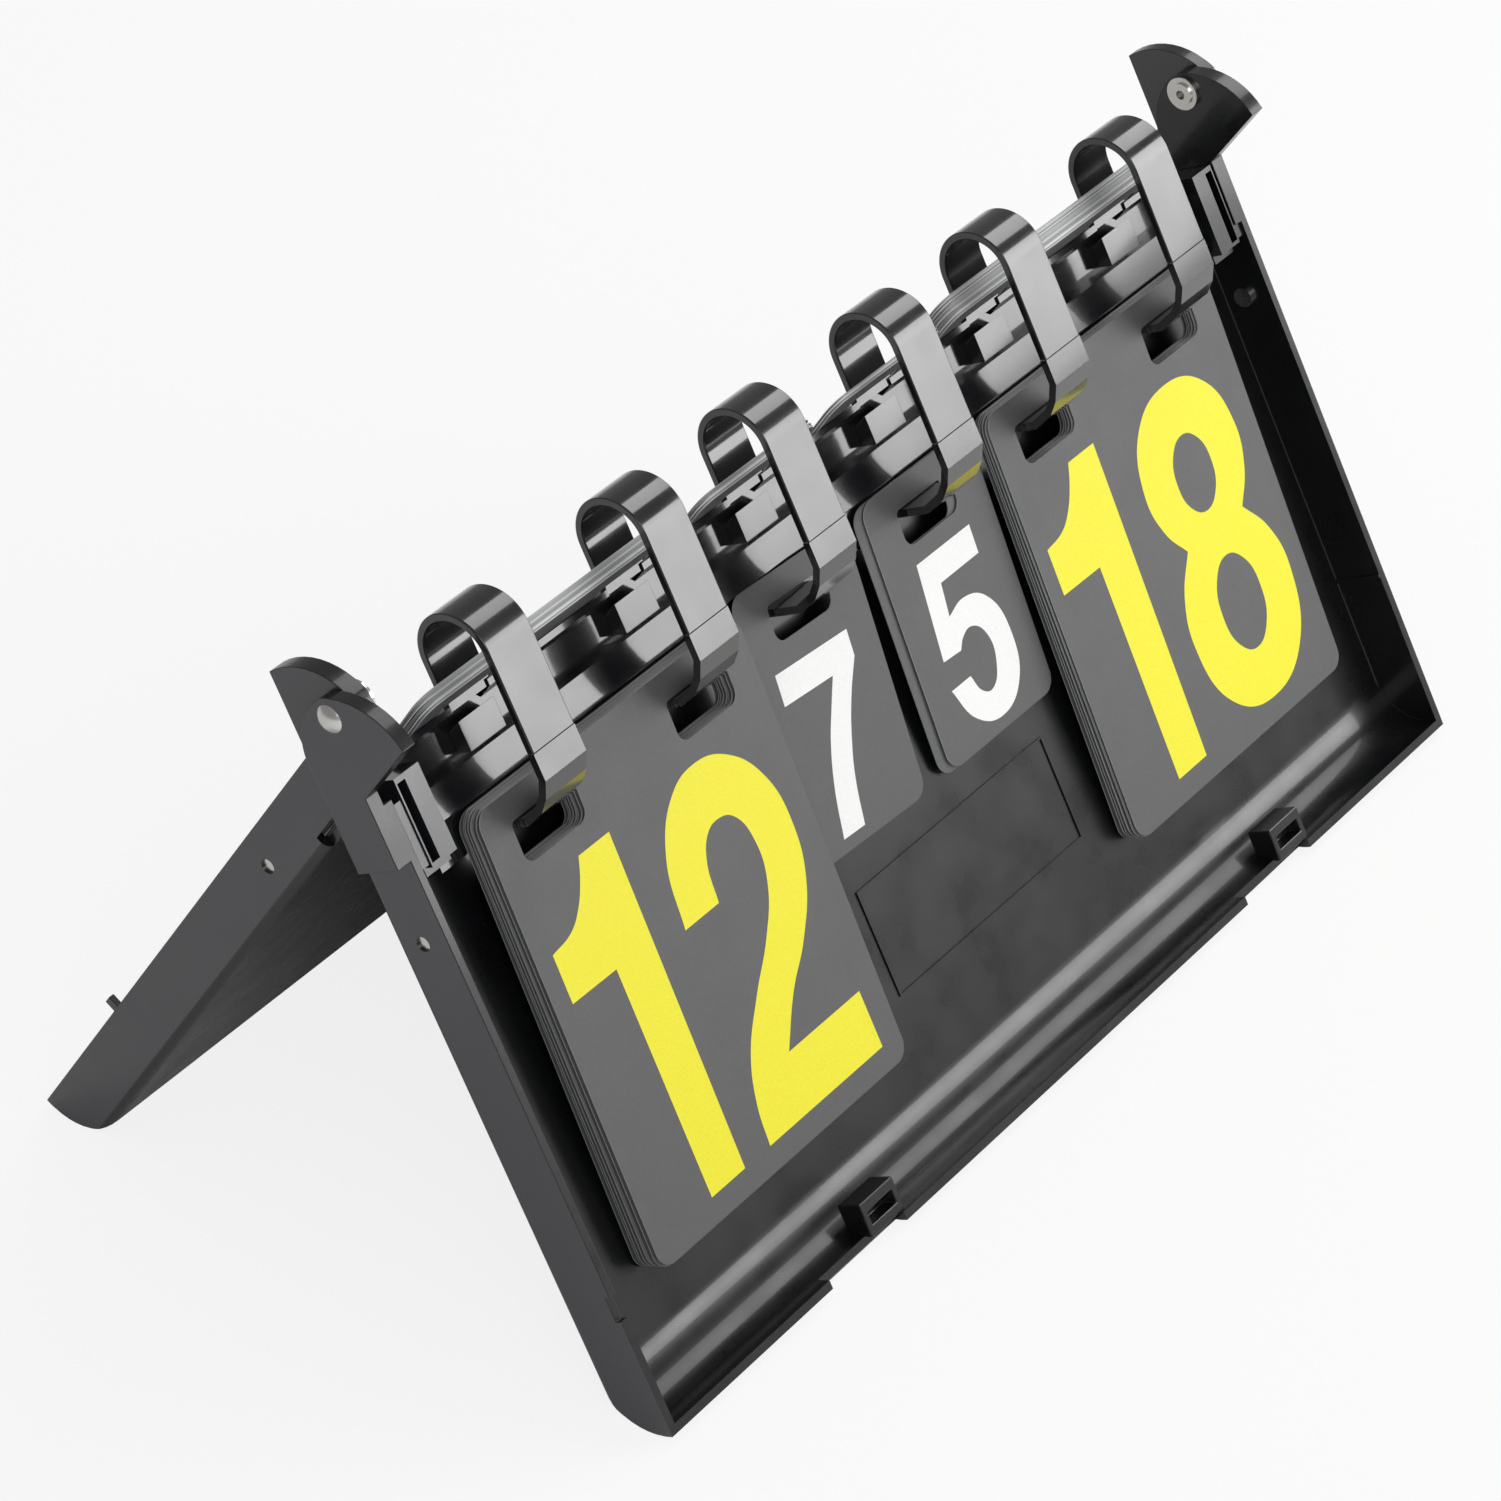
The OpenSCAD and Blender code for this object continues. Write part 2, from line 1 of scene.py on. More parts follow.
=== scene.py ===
"""Looks of the tabletop flip scoreboard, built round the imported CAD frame.

The case halves, latch parts, rivets, washers and side pegs are edge-rounded copies of their CAD nodes. The
six ring hoops and every card are made by Geometry Nodes, from one hoop line and one card blank of each size.
The ring rail and its end brackets are the CAD nodes themselves, with materials of their own.
"""
import json
import math

import bmesh
import bpy
import numpy as np
from bpy.props import FloatProperty, FloatVectorProperty, IntProperty, PointerProperty
from mathutils import Matrix, Vector

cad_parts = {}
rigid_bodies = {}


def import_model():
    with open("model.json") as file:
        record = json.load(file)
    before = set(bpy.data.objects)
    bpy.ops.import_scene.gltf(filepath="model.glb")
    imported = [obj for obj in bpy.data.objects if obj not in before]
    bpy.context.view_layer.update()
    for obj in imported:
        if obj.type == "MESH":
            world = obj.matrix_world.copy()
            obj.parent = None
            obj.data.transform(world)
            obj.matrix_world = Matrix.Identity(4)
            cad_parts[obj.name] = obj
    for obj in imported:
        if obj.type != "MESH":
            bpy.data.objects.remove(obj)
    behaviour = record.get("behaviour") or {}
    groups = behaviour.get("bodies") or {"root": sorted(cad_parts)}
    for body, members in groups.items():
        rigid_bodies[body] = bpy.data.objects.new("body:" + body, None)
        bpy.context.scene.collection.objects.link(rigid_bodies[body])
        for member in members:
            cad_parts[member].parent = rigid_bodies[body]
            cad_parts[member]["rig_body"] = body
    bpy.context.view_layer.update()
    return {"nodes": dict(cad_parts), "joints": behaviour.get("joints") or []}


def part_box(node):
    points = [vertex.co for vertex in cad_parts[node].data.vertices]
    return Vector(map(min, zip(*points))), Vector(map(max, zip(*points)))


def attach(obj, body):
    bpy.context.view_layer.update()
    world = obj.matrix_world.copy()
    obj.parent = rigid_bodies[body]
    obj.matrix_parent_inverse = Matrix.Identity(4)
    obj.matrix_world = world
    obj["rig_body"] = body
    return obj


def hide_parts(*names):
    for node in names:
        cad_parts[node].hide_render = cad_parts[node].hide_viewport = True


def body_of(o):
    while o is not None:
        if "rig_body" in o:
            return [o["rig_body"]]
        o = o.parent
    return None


bl_info = {
    "name": "Tabletop flip scoreboard",
    "version": (1, 0, 0),
    "blender": (4, 5, 0),
    "location": "3D View > Sidebar > Scoreboard",
    "description": "Dresses the scoreboard frame with its moulded case, rings, cards and digits",
    "category": "Object",
}

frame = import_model()
NODES = frame["nodes"]
HINGE_HEIGHT = next(j["pos_m"][2] for j in frame["joints"] if j["name"] == "case_fold")
RING_NODES = [f"ring_{i}" for i in range(1, 7)]
MM = 0.001

# Points closer than this are one point, and faces that turn by less than this are one flat face.
SAME_POINT = 0.001 * MM
FLAT = math.radians(0.5)

# An edge that turns by more than this is a corner and gets a radius. A face is wide enough for that, and an
# edge long enough to meet it, from so many radii on.
CORNER_TURN = math.radians(40)
LEAST_WIDTH = 2.6
LEAST_LENGTH = 2.1

# Edges that turn by less than so many degrees are shaded smoothly.
SMOOTH_BELOW = 12
HOOP_SMOOTH_BELOW = 32

# Radii on the edges of the latch parts, and on those of the rivets, washers and side pegs.
LATCH_EDGE = 0.3 * MM
METAL_EDGE = 0.25 * MM

# Where the right ears lie in the upright frame, from the middle of the board outwards, how far the cutting
# blocks reach past the ears and under the shank, and the step of the ears' round in degrees.
EAR_FROM = 186.5 * MM
PAST_END = 200 * MM
PAST_EAR_TOP = 20 * MM
PAST_EAR_DEPTH = 30 * MM
UNDER_SHANK = 0.02 * MM
EAR_STEP = 6

# How much of its length a normal has sideways on a side face, and at most outwards on a card's cut edge.
SIDEWAYS = 0.99
EDGE_ON = 0.5

# The ring that gives all six hoops their root block, the slanting plane that cuts the block off it, this high
# above the foot, and the block's edge radius as a share of the strap's.
ROOT_RING = 4
ROOT_CUT_RISE = 1.2 * MM
ROOT_CUT_NORMAL = (0, 0.49, 0.87)
ROOT_EDGE_SHARE = 0.6

# How finely the bow of a hoop and the edges of its strap are drawn.
BOW_STEPS = 48
STRAP_EDGE_POINTS = 4

# Refraction of moulded plastic, how strongly its grain lifts the surface, the part of the noise that the soft
# patches use, and how far the grain darkens and lightens the colour.
PLASTIC_IOR = 1.54
GRAIN_STRENGTH = 0.6
PATCH_FROM, PATCH_TO = 0.3, 0.7
DARKER, LIGHTER = 0.88, 1.08

# The dimmest painted highlight on a card's cut edge as a share of the brightest, and how far apart the marks
# on the metal are drawn.
DIMMEST_HIGHLIGHT = 0.4
MARK_SPACING = 0.35 * MM

# The camera's axes were solved from the photo with its place and its lens.
CAMERA_RIGHT = (0.58804, -0.80814, 0.03343)
CAMERA_FORWARD = (0.65716, 0.45327, -0.60223)
SENSOR_WIDTH = 36
CLIP_START = 0.05

# Each lamp's place and size in metres, and the setting that holds its power. All lamps face the aim.
LAMPS = {
    "front_softbox": ((0.9, -0.92, 0.565), (1.0, 0.57), "softbox"),
    "top_softbox": ((0.84, 0.03, 1.05), (0.6, 0.6), "top"),
    "fill_softbox": ((-0.9, -0.9, 0.9), (0.7, 0.7), "fill"),
}
LAMP_AIM = (0, 0, 0.1)

# Half the side of the floor in metres, and the share of plain white in what the camera sees of it. The rest
# is lit paint, which keeps the shadow.
FLOOR_HALF = 6
FLOOR_WHITE = 0.84

# A digit's outline runs round it in millimetres from the card's top left corner, x to the right and y down.
# A point with a third value is a corner, and the others are passed in a smooth curve.
CORNER = True
ONE = [(26.9, 26.1, CORNER), (39.5, 26.1, CORNER), (39.3, 125.5, CORNER), (24.8, 125.5, CORNER),
       (24.2, 57.5, CORNER), (6.2, 57.3, CORNER), (6.2, 43.2, CORNER), (15, 41.4), (20, 37.6), (24.2, 31.8)]
TWO = [(51.2, 61.5, CORNER), (65.7, 61.5, CORNER), (67.4, 49.6), (71.6, 43.8), (76, 42.6), (81.9, 44.7),
       (86, 55), (84.1, 67), (77, 77.9), (65.9, 89.3), (56.2, 101.2), (51.6, 113.5), (50.4, 125.5, CORNER),
       (101.5, 125.5, CORNER), (101, 108.1, CORNER), (69.1, 108.1, CORNER), (78.8, 95.3), (88.9, 85.8),
       (98, 72.5), (101, 57.6), (98, 41.7), (87.6, 29.6), (75.7, 26), (64.6, 29.1), (54.4, 42)]
EIGHT_MIDDLE = 75.9
EIGHT_LEFT = [(75.9, 25.8), (59, 32.2), (51.9, 49), (54.6, 62.5), (61.2, 71.5, CORNER), (53.2, 82), (50, 96),
              (57.6, 118), (75.9, 125.7)]
EIGHT_COUNTERS = [(75.7, 53.4, 8.9, 11.9), (76.2, 95, 10.2, 14.8)]
FIVE = [(13.7, 24, CORNER), (39, 24, CORNER), (38.9, 32.7, CORNER), (20.6, 32.8, CORNER),
        (19.4, 42.5, CORNER), (26.8, 40.6), (36.1, 44.5), (41.1, 58.5), (37.2, 72.2), (26.9, 76.9),
        (16.2, 72.2), (10.4, 60.9, CORNER), (19.5, 60.9, CORNER), (22.4, 66.9), (26.6, 68.3), (31.2, 63),
        (31.4, 53.8), (26.3, 49), (22, 50), (19.3, 52.9, CORNER), (11.2, 52.4, CORNER)]
SEVEN = [(8.1, 25.4, CORNER), (39.6, 26.1, CORNER), (39.6, 33.9, CORNER), (33.9, 42.9), (29, 53.4),
         (25.8, 63.4), (23.8, 76.8, CORNER), (14.4, 76.7, CORNER), (17, 62), (21, 50.3), (25, 42.6),
         (29.2, 35.1, CORNER), (8.1, 34.5, CORNER)]
RIGHT_ONE_SHIFT = -0.6
COUNTER_POINTS = 8
CURVE_STEPS = 10


def shifted(outline, dx):
    """The outline moved sideways by dx."""
    return [(x + dx, *rest) for x, *rest in outline]


def ellipse(x, y, rx, ry):
    """A round counter of a digit, as smooth points."""
    turns = [math.tau * i / COUNTER_POINTS for i in range(COUNTER_POINTS)]
    return [(x + rx * math.cos(turn), y + ry * math.sin(turn)) for turn in turns]


def eight():
    """Both sides of the eight, the right one mirrored from the left, and its two counters."""
    right = [(2 * EIGHT_MIDDLE - x, *rest) for x, *rest in reversed(EIGHT_LEFT[1:-1])]
    return [EIGHT_LEFT + right, *[ellipse(*counter) for counter in EIGHT_COUNTERS]]


DIGITS = {
    "left_score": ([ONE, TWO], "ink_yellow"),
    "left_set": ([SEVEN], "ink_white"),
    "right_set": ([FIVE], "ink_white"),
    "right_score": ([shifted(ONE, RIGHT_ONE_SHIFT), *eight()], "ink_yellow"),
}


def linear(code):
    """A colour written as sRGB hex, as linear red, green, blue and alpha."""
    parts = [int(code[i:i + 2], 16) / 255 for i in (1, 3, 5)]
    return (*[p / 12.92 if p <= 0.04045 else ((p + 0.055) / 1.055) ** 2.4 for p in parts], 1.0)


def colour(name, code, description):
    """A colour property with its default from sRGB hex."""
    return FloatVectorProperty(name=name, description=description, subtype="COLOR", size=4, min=0, max=1,
                               default=linear(code))


def length(name, millimetres, description):
    """A length property in metres with its default in millimetres."""
    return FloatProperty(name=name, description=description, subtype="DISTANCE", unit="LENGTH", min=0,
                         default=millimetres * MM)


class CaseSettings(bpy.types.PropertyGroup):
    """Finish of the case halves, the rail and the metal, and the place of the ears."""
    edge: length("Case edge", 0.45, "Radius on the edges of the case")
    body: colour("Case plastic", "#0f1012", "Moulded black of the case halves")
    # The side colour is paler than the case black: it paints in the reflection of the pale floor that the
    # outer side faces show.
    side: colour("Case side plastic", "#333438", "Sheened black of the outer side faces")
    # Paler than the case black, to paint in the light that the left bracket reflects; the right bracket keeps
    # the case black.
    rail: colour("Rail plastic", "#202124", "Moulded black of the left rail bracket")
    nickel: colour("Nickel", "#e4e2de", "Plating of the rivets, washers and side pegs")
    grain: length("Mould grain", 0.7, "Size at which the grain of the mould is drawn")
    outside: length("Outside", 191.5, "Distance from the middle beyond which a side face is an outer one")
    shank: length("Shank", 42, "Drop below the hinge where the shank of an ear ends")
    ear_back: length("Back of the ear zone", 15.3, "Depth behind the rim plane that no ear reaches")
    ear_round: length("Ear round", 18, "Radius of the round back corner of an ear")
    ear_middle: FloatVectorProperty(
        name="Ear middle", description="Depth and height of the middle of that round", size=2, subtype="XYZ",
        default=(-3.4 * MM, -12 * MM))


class RingSettings(bpy.types.PropertyGroup):
    """Sizes and finish of the ring hoops, in the upright frame of the front half."""
    lean: FloatProperty(name="Lean", description="Lean of the front half from upright", subtype="ANGLE",
                        default=math.radians(30.3))
    strap: length("Strap thickness", 2.3, "Thickness of the ring strap")
    edge: length("Strap edge", 0.4, "Radius on the edges of the strap")
    clear: length("Clear width", 19.7, "Clear width inside a ring")
    rise: length("Rise", 6.5, "Height of the ring top above the hinge")
    middle: length("Middle", 2.15, "How far the middle of a ring lies in front of the rim plane")
    part_line: length("Parting line", 34, "Drop of the parting line below the hinge")
    foot: length("Foot", 20.2, "Drop of the rear foot of the hoop below the hinge")
    seam: length("Seam", 0.3, "Open seam at the parting line")
    plastic: colour("Ring plastic", "#17181a", "Polished black of the rings")


class CardSettings(bpy.types.PropertyGroup):
    """Finish of the cards and their printed digits."""
    # The sheet is black, and is written as a mid grey that paints in the pale sheen of its matt face, which
    # looks dark grey and not black.
    sheet: colour("Card sheet", "#59595a", "Face of the black card sheet")
    # The cut edge is written nearly white: the colour paints in the highlights that the thin edges catch.
    edge_highlight: colour("Cut edge", "#e6e7e8", "Cut edge of the card sheet")
    ink_yellow: colour("Yellow ink", "#f5ec12", "Ink of the score digits")
    ink_white: colour("White ink", "#f8f8f5", "Ink of the set digits")
    ink_height: length("Ink height", 0.03, "Height of the ink above the card")
    scatter: length("Scatter", 0.12, "Random sideways place of each card in a stack")
    seed: IntProperty(name="Seed", description="Seed of the random scatter", default=9)


class StageSettings(bpy.types.PropertyGroup):
    """Camera, lamps and surroundings."""
    eye: FloatVectorProperty(name="Camera place", description="Place of the camera from the hinge middle",
                             subtype="TRANSLATION", default=(-1.02115, -0.69196, 0.80386))
    lens: FloatProperty(name="Focal length", description="Focal length in millimetres on a 36 mm sensor",
                        default=133.12)
    softbox: FloatProperty(name="Softbox", description="Power of the front right softbox in watts", default=9)
    top: FloatProperty(name="Top lamp", description="Power of the top right lamp in watts", default=3.4)
    fill: FloatProperty(name="Fill", description="Power of the left fill lamp in watts", default=4)
    sky: FloatProperty(name="Sky", description="Strength of the surroundings as a light", default=0.45)
    mirrored: FloatProperty(name="Mirrored sky", description="Strength of the surroundings in reflections",
                            default=0.25)


GROUPS = {"scoreboard_case": CaseSettings, "scoreboard_rings": RingSettings, "scoreboard_cards": CardSettings,
          "scoreboard_stage": StageSettings}


def add(tree, kind, links=None, **settings):
    """Add a node, set its properties, and give its inputs values or links."""
    node = tree.nodes.new(kind)
    for name, value in settings.items():
        setattr(node, name, value)
    for key, value in (links or {}).items():
        for part in value if isinstance(value, list) else [value]:
            if isinstance(part, bpy.types.NodeSocket):
                tree.links.new(part, node.inputs[key])
            else:
                node.inputs[key].default_value = part
    return node


def new_material(name):
    """An empty node material and its tree."""
    material = bpy.data.materials.get(name) or bpy.data.materials.new(name)
    material.use_nodes = True
    material.node_tree.nodes.clear()
    return material, material.node_tree


def plastic(name, base, roughness, grain, relief, worn=0.05, patch=14 * MM, coat=0.0, coat_roughness=0.1):
    """Plastic with its grain in relief and in its shade, and soft patches where its gloss changes."""
    # The real grains are about 0.1 mm and too fine to show, so each is drawn as coarse as it needs to show.
    material, tree = new_material(name)
    place = add(tree, "ShaderNodeTexCoord").outputs["Object"]
    patches = add(tree, "ShaderNodeTexNoise", {"Vector": place, "Scale": 1 / patch, "Detail": 3.0})
    fine = add(tree, "ShaderNodeTexNoise", {"Vector": place, "Scale": 1 / grain, "Detail": 2.0})
    gloss = add(tree, "ShaderNodeMapRange", {
        "Value": patches.outputs["Fac"], "From Min": PATCH_FROM, "From Max": PATCH_TO,
        "To Min": roughness - worn, "To Max": roughness + worn})
    darker, lighter = [tuple(min(1.0, share * c) for c in base[:3]) + (1.0,) for share in (DARKER, LIGHTER)]
    mix = add(tree, "ShaderNodeMix", {0: fine.outputs["Fac"], 6: darker, 7: lighter}, data_type="RGBA")
    bump = add(tree, "ShaderNodeBump", {
        "Height": fine.outputs["Fac"], "Distance": relief, "Strength": GRAIN_STRENGTH})
    shader = add(tree, "ShaderNodeBsdfPrincipled", {
        "Base Color": mix.outputs[2], "Roughness": gloss.outputs["Result"], "IOR": PLASTIC_IOR,
        "Coat Weight": coat, "Coat Roughness": coat_roughness, "Normal": bump.outputs["Normal"]})
    add(tree, "ShaderNodeOutputMaterial", {"Surface": shader.outputs["BSDF"]})
    return material


def case_abs():
    """Black ABS from a polished mould: a deep black with soft reflections, and a faint grain."""
    look = bpy.context.scene.scoreboard_case
    return plastic("case_abs", look.body, roughness=0.3, grain=look.grain, relief=0.004 * MM, coat=0.4,
                   coat_roughness=0.08)


def case_side_abs():
    """Black ABS drawn along the mould's side, with a stronger grain: its base is paler than the case to paint
    in the reflection of the pale floor on the outer side faces.
    """
    look = bpy.context.scene.scoreboard_case
    return plastic("case_side_abs", look.side, roughness=0.36, grain=look.grain, relief=0.01 * MM, coat=0.7,
                   coat_roughness=0.2)


def rail_abs():
    """Black ABS of the left rail bracket: a little glossier than the case, with a faint grain, and a paler
    base that paints in the light strips it reflects.
    """
    look = bpy.context.scene.scoreboard_case
    return plastic("rail_abs", look.rail, roughness=0.26, grain=look.grain, relief=0.004 * MM, coat=0.6)


def ring_abs():
    """Polished black ABS of the rings and their rail: it takes the softbox as one pale sheen."""
    look = bpy.context.scene.scoreboard_rings
    return plastic("ring_abs", look.plastic, roughness=0.2, grain=1.4 * MM, relief=0.002 * MM, coat=1.0,
                   coat_roughness=0.07)


def card_sheet():
    """Calendered black PVC sheet: nearly matt, with a very faint pebble from the rollers."""
    look = bpy.context.scene.scoreboard_cards
    return plastic("card_sheet", look.sheet, roughness=0.5, grain=1.1 * MM, relief=0.004 * MM)


def card_cut_edge():
    """Cut edge of the PVC sheet, painted nearly white for the highlights it catches, and brighter or dimmer
    from card to card so that the painted highlights make streaks.
    """
    material, tree = new_material("card_cut_edge")
    base = bpy.context.scene.scoreboard_cards.edge_highlight
    shade = add(tree, "ShaderNodeAttribute", attribute_name="shade")
    ramp = add(tree, "ShaderNodeValToRGB", {"Fac": shade.outputs["Fac"]})
    ramp.color_ramp.elements[0].color = tuple(DIMMEST_HIGHLIGHT * c for c in base[:3]) + (1.0,)
    ramp.color_ramp.elements[1].color = tuple(base)
    shader = add(tree, "ShaderNodeBsdfPrincipled", {"Base Color": ramp.outputs["Color"], "Roughness": 0.3})
    add(tree, "ShaderNodeOutputMaterial", {"Surface": shader.outputs["BSDF"]})
    return material


def printed_ink(name, base):
    """Screen-printed ink: a dense even film, a little glossier than the sheet, with a fine mesh mark."""
    return plastic(name, base, roughness=0.45, grain=0.5 * MM, relief=0.002 * MM)


def nickel_plate():
    """Nickel-plated steel: bright, with fine marks left from the heading of the rivet."""
    # The real marks are about 0.1 mm apart, and are drawn coarser so that they show.
    material, tree = new_material("nickel_plate")
    place = add(tree, "ShaderNodeTexCoord").outputs["Object"]
    marks = add(tree, "ShaderNodeTexNoise", {"Vector": place, "Scale": 1 / MARK_SPACING, "Detail": 4.0})
    gloss = add(tree, "ShaderNodeMapRange", {"Value": marks.outputs["Fac"], "To Min": 0.16, "To Max": 0.32})
    bump = add(tree, "ShaderNodeBump", {
        "Height": marks.outputs["Fac"], "Distance": 0.01 * MM, "Strength": 0.5})
    shader = add(tree, "ShaderNodeBsdfPrincipled", {
        "Base Color": tuple(bpy.context.scene.scoreboard_case.nickel), "Metallic": 1.0,
        "Roughness": gloss.outputs["Result"], "Normal": bump.outputs["Normal"]})
    add(tree, "ShaderNodeOutputMaterial", {"Surface": shader.outputs["BSDF"]})
    return material


def link(name, data):
    """A new object in the scene's collection."""
    thing = bpy.data.objects.new(name, data)
    bpy.context.scene.collection.objects.link(thing)
    return thing


def drop(*things):
    """Delete helper objects."""
    for thing in things:
        bpy.data.objects.remove(thing)


def merged(node):
    """A CAD node's mesh as bmesh, with its loose triangles joined and its flat faces made whole."""
    solid = bmesh.new()
    solid.from_mesh(NODES[node].data)
    bmesh.ops.remove_doubles(solid, verts=solid.verts, dist=SAME_POINT)
    bmesh.ops.dissolve_limit(solid, angle_limit=FLAT, verts=solid.verts, edges=solid.edges)
    return solid


def plain(thing):
    """Turn an object with modifiers into a plain mesh object."""
    graph = bpy.context.evaluated_depsgraph_get()
    thing.data = bpy.data.meshes.new_from_object(thing.evaluated_get(graph))
    thing.modifiers.clear()
    return thing


def smooth_round(thing, angle=SMOOTH_BELOW):
    """Shade round stretches smoothly, keep corners sharp, and let large flat faces set the normals."""
    solid = bmesh.new()
    solid.from_mesh(thing.data)
    for face in solid.faces:
        face.smooth = True
    for edge in solid.edges:
        edge.smooth = len(edge.link_faces) == 2 and edge.calc_face_angle(math.pi) < math.radians(angle)
    solid.to_mesh(thing.data)
    solid.free()
    weigh = thing.modifiers.new("weigh", "WEIGHTED_NORMAL")
    weigh.keep_sharp = True
    return plain(thing)


def narrow(face, radius):
    """Whether a face is too slim to lose an edge radius on both sides."""
    return face.calc_area() / max(edge.calc_length() for edge in face.edges) < LEAST_WIDTH * radius


def mesh_object(name, solid):
    """An object of a bmesh, which is then freed."""
    mesh = bpy.data.meshes.new(name)
    solid.to_mesh(mesh)
    solid.free()
    return link(name, mesh)


def carved(thing, tool, operation):
    """The object after an exact cut, join or overlap with a tool object, which is deleted."""
    step = thing.modifiers.new("carve", "BOOLEAN")
    step.operation = operation
    step.solver = "EXACT"
    step.object = tool
    plain(thing)
    drop(tool)
    return thing


def prism(outline, x0, x1):
    """A closed prism across the scoreboard, of an outline in depth and height."""
    count = len(outline)
    ends = [tuple(range(count)), tuple(range(2 * count - 1, count - 1, -1))]
    sides = [(i, i + count, (i + 1) % count + count, (i + 1) % count) for i in range(count)]
    mesh = bpy.data.meshes.new("prism")
    mesh.from_pydata([(x, *point) for x in (x0, x1) for point in outline], [], ends + sides)
    thing = link("prism", mesh)
    solid = bmesh.new()
    solid.from_mesh(mesh)
    bmesh.ops.recalc_face_normals(solid, faces=solid.faces)
    solid.to_mesh(mesh)
    solid.free()
    return thing


def upright_half(node, matrix):
    """A case half as an object in its upright frame, opening towards -y."""
    solid = merged(node)
    bmesh.ops.transform(solid, matrix=matrix, verts=solid.verts)
    bmesh.ops.recalc_face_normals(solid, faces=solid.faces)
    return mesh_object(node, solid)


def ear_zone(look):
    """A block that holds the right ear and its shank, and nothing else of the half."""
    low = -look.shank - UNDER_SHANK
    outline = [(-PAST_EAR_DEPTH, low), (look.ear_back, low), (look.ear_back, PAST_EAR_TOP),
               (-PAST_EAR_DEPTH, PAST_EAR_TOP)]
    return prism(outline, EAR_FROM, PAST_END)


def ear_corner(look):
    """What lies outside the round back corner of both ears."""
    depth, height = look.ear_middle
    turns = [math.radians(turn) for turn in range(0, 90 + EAR_STEP, EAR_STEP)]
    curve = [(depth + look.ear_round * math.cos(turn), height + look.ear_round * math.sin(turn))
             for turn in turns]
    outline = [*curve, (curve[-1][0], PAST_EAR_TOP), (PAST_EAR_DEPTH, PAST_EAR_TOP),
               (PAST_EAR_DEPTH, curve[0][1])]
    return prism(outline, -PAST_END, PAST_END)


def case_half(node, other, piece, to_upright, to_other, look, material):
    """A case half whose right ear is taken from the other half, so that one mould gives both halves."""
    half = carved(upright_half(node, to_upright), ear_zone(look), "DIFFERENCE")
    ear = carved(upright_half(other, to_other), ear_zone(look), "INTERSECT")
    half = carved(carved(half, ear, "UNION"), ear_corner(look), "DIFFERENCE")
    solid = bmesh.new()
    solid.from_mesh(half.data)
    drop(half)
    bmesh.ops.transform(solid, matrix=to_upright.inverted(), verts=solid.verts)
    bmesh.ops.remove_doubles(solid, verts=solid.verts, dist=2 * SAME_POINT)
    bmesh.ops.dissolve_limit(solid, angle_limit=FLAT, verts=solid.verts, edges=solid.edges)
    bmesh.ops.recalc_face_normals(solid, faces=solid.faces)
    thing = dressed(solid, piece, look.edge, material, node)
    thing.data.materials.append(case_side_abs())
    # Outer side faces take the side plastic, whose paler base is painted reflection of the floor.
    for face in thing.data.polygons:
        face.material_index = int(abs(face.normal.x) > SIDEWAYS and abs(face.center.x) > look.outside)
    return thing


def crowded(edge, radius):
    """Whether an edge meets another that is too short for an edge radius at each end."""
    return any(near.calc_length() < LEAST_LENGTH * radius for vert in edge.verts for near in vert.link_edges)


def corners(solid):
    """The edges at which two faces meet in a corner."""
    return [edge for edge in solid.edges
            if len(edge.link_faces) == 2 and edge.calc_face_angle(0) > CORNER_TURN]


def round_off(solid, edges, radius):
    """Give edges of a solid a radius."""
    bmesh.ops.bevel(solid, geom=edges, offset=radius, offset_type="OFFSET", segments=2, profile=0.5,
                    affect="EDGES", clamp_overlap=True)


def rounded_copy(node, piece, radius, material):
    """An edge-rounded copy that stands for a CAD node on the node's own body."""
    return dressed(merged(node), piece, radius, material, node)


def dressed(solid, piece, radius, material, node):
    """Round a solid's corners, shade it, and let it stand for a CAD node."""
    edges = [edge for edge in corners(solid) if not crowded(edge, radius)
             and not any(narrow(face, radius) for face in edge.link_faces)]
    round_off(solid, edges, radius)
    thing = smooth_round(mesh_object(piece, solid))
    finish_piece(thing, material, body_of(NODES[node])[0], [node])
    return thing


def finish_piece(thing, material, body, replaced=()):
    """Give a piece its material, slot and body, and hide the nodes that it stands for."""
    if material is not None:
        thing.data.materials.clear()
        thing.data.materials.append(material)
    if replaced:
        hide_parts(*replaced)
    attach(thing, body)


def tree_with(name, inputs):
    """A Geometry Nodes tree with named inputs, its input node and its output node."""
    tree = bpy.data.node_groups.new(name, "GeometryNodeTree")
    tree.interface.new_socket("Geometry", in_out="INPUT", socket_type="NodeSocketGeometry")
    for label, kind in inputs.items():
        tree.interface.new_socket(label, in_out="INPUT", socket_type=kind)
    tree.interface.new_socket("Geometry", in_out="OUTPUT", socket_type="NodeSocketGeometry")
    return tree, add(tree, "NodeGroupInput").outputs


def run_tree(thing, tree, values):
    """Set the tree's inputs on a modifier by their identifiers, and make the result a plain mesh."""
    modifier = thing.modifiers.new(tree.name, "NODES")
    modifier.node_group = tree
    for item in tree.interface.items_tree:
        if item.in_out == "INPUT" and item.name in values:
            modifier[item.identifier] = values[item.name]
    return plain(thing)


def points_object(name, places):
    """An object of loose points."""
    mesh = bpy.data.meshes.new(name)
    mesh.from_pydata([tuple(p) for p in places], [], [])
    return link(name, mesh)


